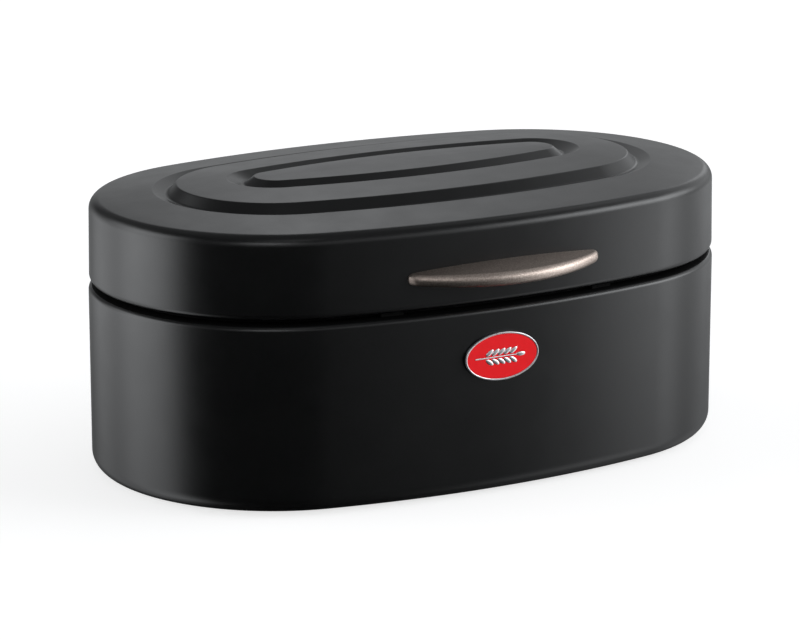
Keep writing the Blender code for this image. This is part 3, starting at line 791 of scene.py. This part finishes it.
def stage_material():
    """Pale floor. Mirror rays go through it, so that the body mirrors mostly the soft lights."""
    material = bpy.data.materials.new("pale_floor")
    material.use_nodes = True
    tree = material.node_tree
    tree.nodes.clear()
    matte = add_node(tree, "ShaderNodeBsdfDiffuse", Color=(FLOOR_GREY, FLOOR_GREY, FLOOR_GREY, 1.0))
    glow = add_node(tree, "ShaderNodeEmission", Color=(1.0, 1.0, 1.0, 1.0), Strength=FLOOR_GLOW)
    pale = tree.nodes.new("ShaderNodeAddShader")
    tree.links.new(matte.outputs["BSDF"], pale.inputs[0])
    tree.links.new(glow.outputs["Emission"], pale.inputs[1])
    rays = tree.nodes.new("ShaderNodeLightPath")
    mix = tree.nodes.new("ShaderNodeMixShader")
    tree.links.new(rays.outputs["Is Glossy Ray"], mix.inputs["Fac"])
    tree.links.new(pale.outputs["Shader"], mix.inputs[1])
    tree.links.new(floor_shadow_filter(tree), mix.inputs[2])
    output = tree.nodes.new("ShaderNodeOutputMaterial")
    tree.links.new(mix.outputs["Shader"], output.inputs["Surface"])
    material.cycles.emission_sampling = "NONE"
    return material


def build_stage():
    """One flat round floor at the height of the table."""
    builder = bmesh.new()
    edge = ellipse_ring(FLOOR_RADIUS, FLOOR_RADIUS, 0.0, FLOOR_STEPS)
    builder.faces.new([builder.verts.new(point) for point in edge])
    mesh = bpy.data.meshes.new("floor")
    builder.to_mesh(mesh)
    builder.free()
    mesh.materials.append(stage_material())
    floor = bpy.data.objects.new("floor", mesh)
    bpy.context.scene.collection.objects.link(floor)


def build_camera():
    data = bpy.data.cameras.new("camera")
    data.sensor_width = 36.0
    data.lens = CAMERA_LENS_MM
    data.clip_start = 0.05
    data.clip_end = 60.0
    camera = bpy.data.objects.new("camera", data)
    bpy.context.scene.collection.objects.link(camera)
    base = Vector((0.0, OVAL_Y, BASE_Z))
    camera.location = base + Vector(CAMERA_PLACE)
    target = base + Vector(CAMERA_AIM)
    camera.rotation_euler = (target - camera.location).to_track_quat("-Z", "Y").to_euler()
    bpy.context.scene.camera = camera


class LightDome:
    """Soft panels painted on the world by direction, over a dim room."""

    def __init__(self):
        world = bpy.data.worlds.new("studio")
        bpy.context.scene.world = world
        world.use_nodes = True
        self.tree = world.node_tree
        self.tree.nodes.clear()
        coords = self.tree.nodes.new("ShaderNodeTexCoord")
        split = self.tree.nodes.new("ShaderNodeSeparateXYZ")
        self.tree.links.new(coords.outputs["Generated"], split.inputs["Vector"])
        forward = self.math("MULTIPLY", split.outputs["Y"], -1.0)
        self.azimuth = self.math("MULTIPLY", self.math("ARCTAN2", split.outputs["X"], forward),
                                 180 / math.pi)
        self.elevation = self.math("MULTIPLY", self.math("ARCSINE", split.outputs["Z"]),
                                   180 / math.pi)
        self.total = None

    def math(self, operation, *values):
        """Math node over numbers and sockets."""
        node = add_node(self.tree, "ShaderNodeMath", {"operation": operation})
        for socket, value in zip(node.inputs, values):
            if isinstance(value, (int, float)):
                socket.default_value = value
            else:
                self.tree.links.new(value, socket)
        return node.outputs["Value"]

    def step(self, value, start, end):
        """Smooth step of value from 0 at start to 1 at end; start may be above end."""
        if start < end:
            return map_range(self.tree, value, start, end, 0.0, 1.0, "SMOOTHSTEP")
        return map_range(self.tree, value, end, start, 1.0, 0.0, "SMOOTHSTEP")

    def panel(self, center, half_width, side_blur, low, high, low_blur, high_blur, strength):
        """Add a panel: azimuths and elevations in degrees, blurs across each of its edges."""
        offset = self.math("SUBTRACT", self.azimuth, center)
        wrapped = self.math("ABSOLUTE", self.math("WRAP", offset, 180.0, -180.0))
        across = self.step(wrapped, half_width + side_blur / 2, half_width - side_blur / 2)
        above = self.step(self.elevation, low - low_blur / 2, low + low_blur / 2)
        below = self.step(self.elevation, high + high_blur / 2, high - high_blur / 2)
        shape = self.math("MULTIPLY", self.math("MULTIPLY", above, below), across)
        light = self.math("MULTIPLY", shape, strength)
        self.total = light if self.total is None else self.math("ADD", self.total, light)

    def finish(self, room):
        """Write the world: white to the camera, the panels and the room to everything else."""
        tree = self.tree
        strength = self.math("ADD", self.total, room)
        studio = add_node(tree, "ShaderNodeBackground", Color=(0.96, 0.98, 1.0, 1.0))
        tree.links.new(strength, studio.inputs["Strength"])
        backdrop = add_node(tree, "ShaderNodeBackground", Color=(1.0, 1.0, 1.0, 1.0), Strength=1.0)
        mix = tree.nodes.new("ShaderNodeMixShader")
        rays = tree.nodes.new("ShaderNodeLightPath")
        output = tree.nodes.new("ShaderNodeOutputWorld")
        tree.links.new(rays.outputs["Is Camera Ray"], mix.inputs["Fac"])
        tree.links.new(studio.outputs["Background"], mix.inputs[1])
        tree.links.new(backdrop.outputs["Background"], mix.inputs[2])
        tree.links.new(mix.outputs["Shader"], output.inputs["Surface"])


def build_light():
    dome = LightDome()
    for panel in PANELS:
        dome.panel(*panel)
    dome.finish(ROOM_STRENGTH)


def main():
    bpy.context.scene.view_settings.view_transform = "Standard"
    coat = powder_coat()
    nickel = satin_nickel()
    build_body(coat, seam_shade_coat())
    build_lid(coat)
    build_handle(nickel)
    build_badge(badge_metal(), red_enamel())
    dress_nodes(zinc_plate(), black_rubber())
    build_stage()
    build_camera()
    build_light()


main()
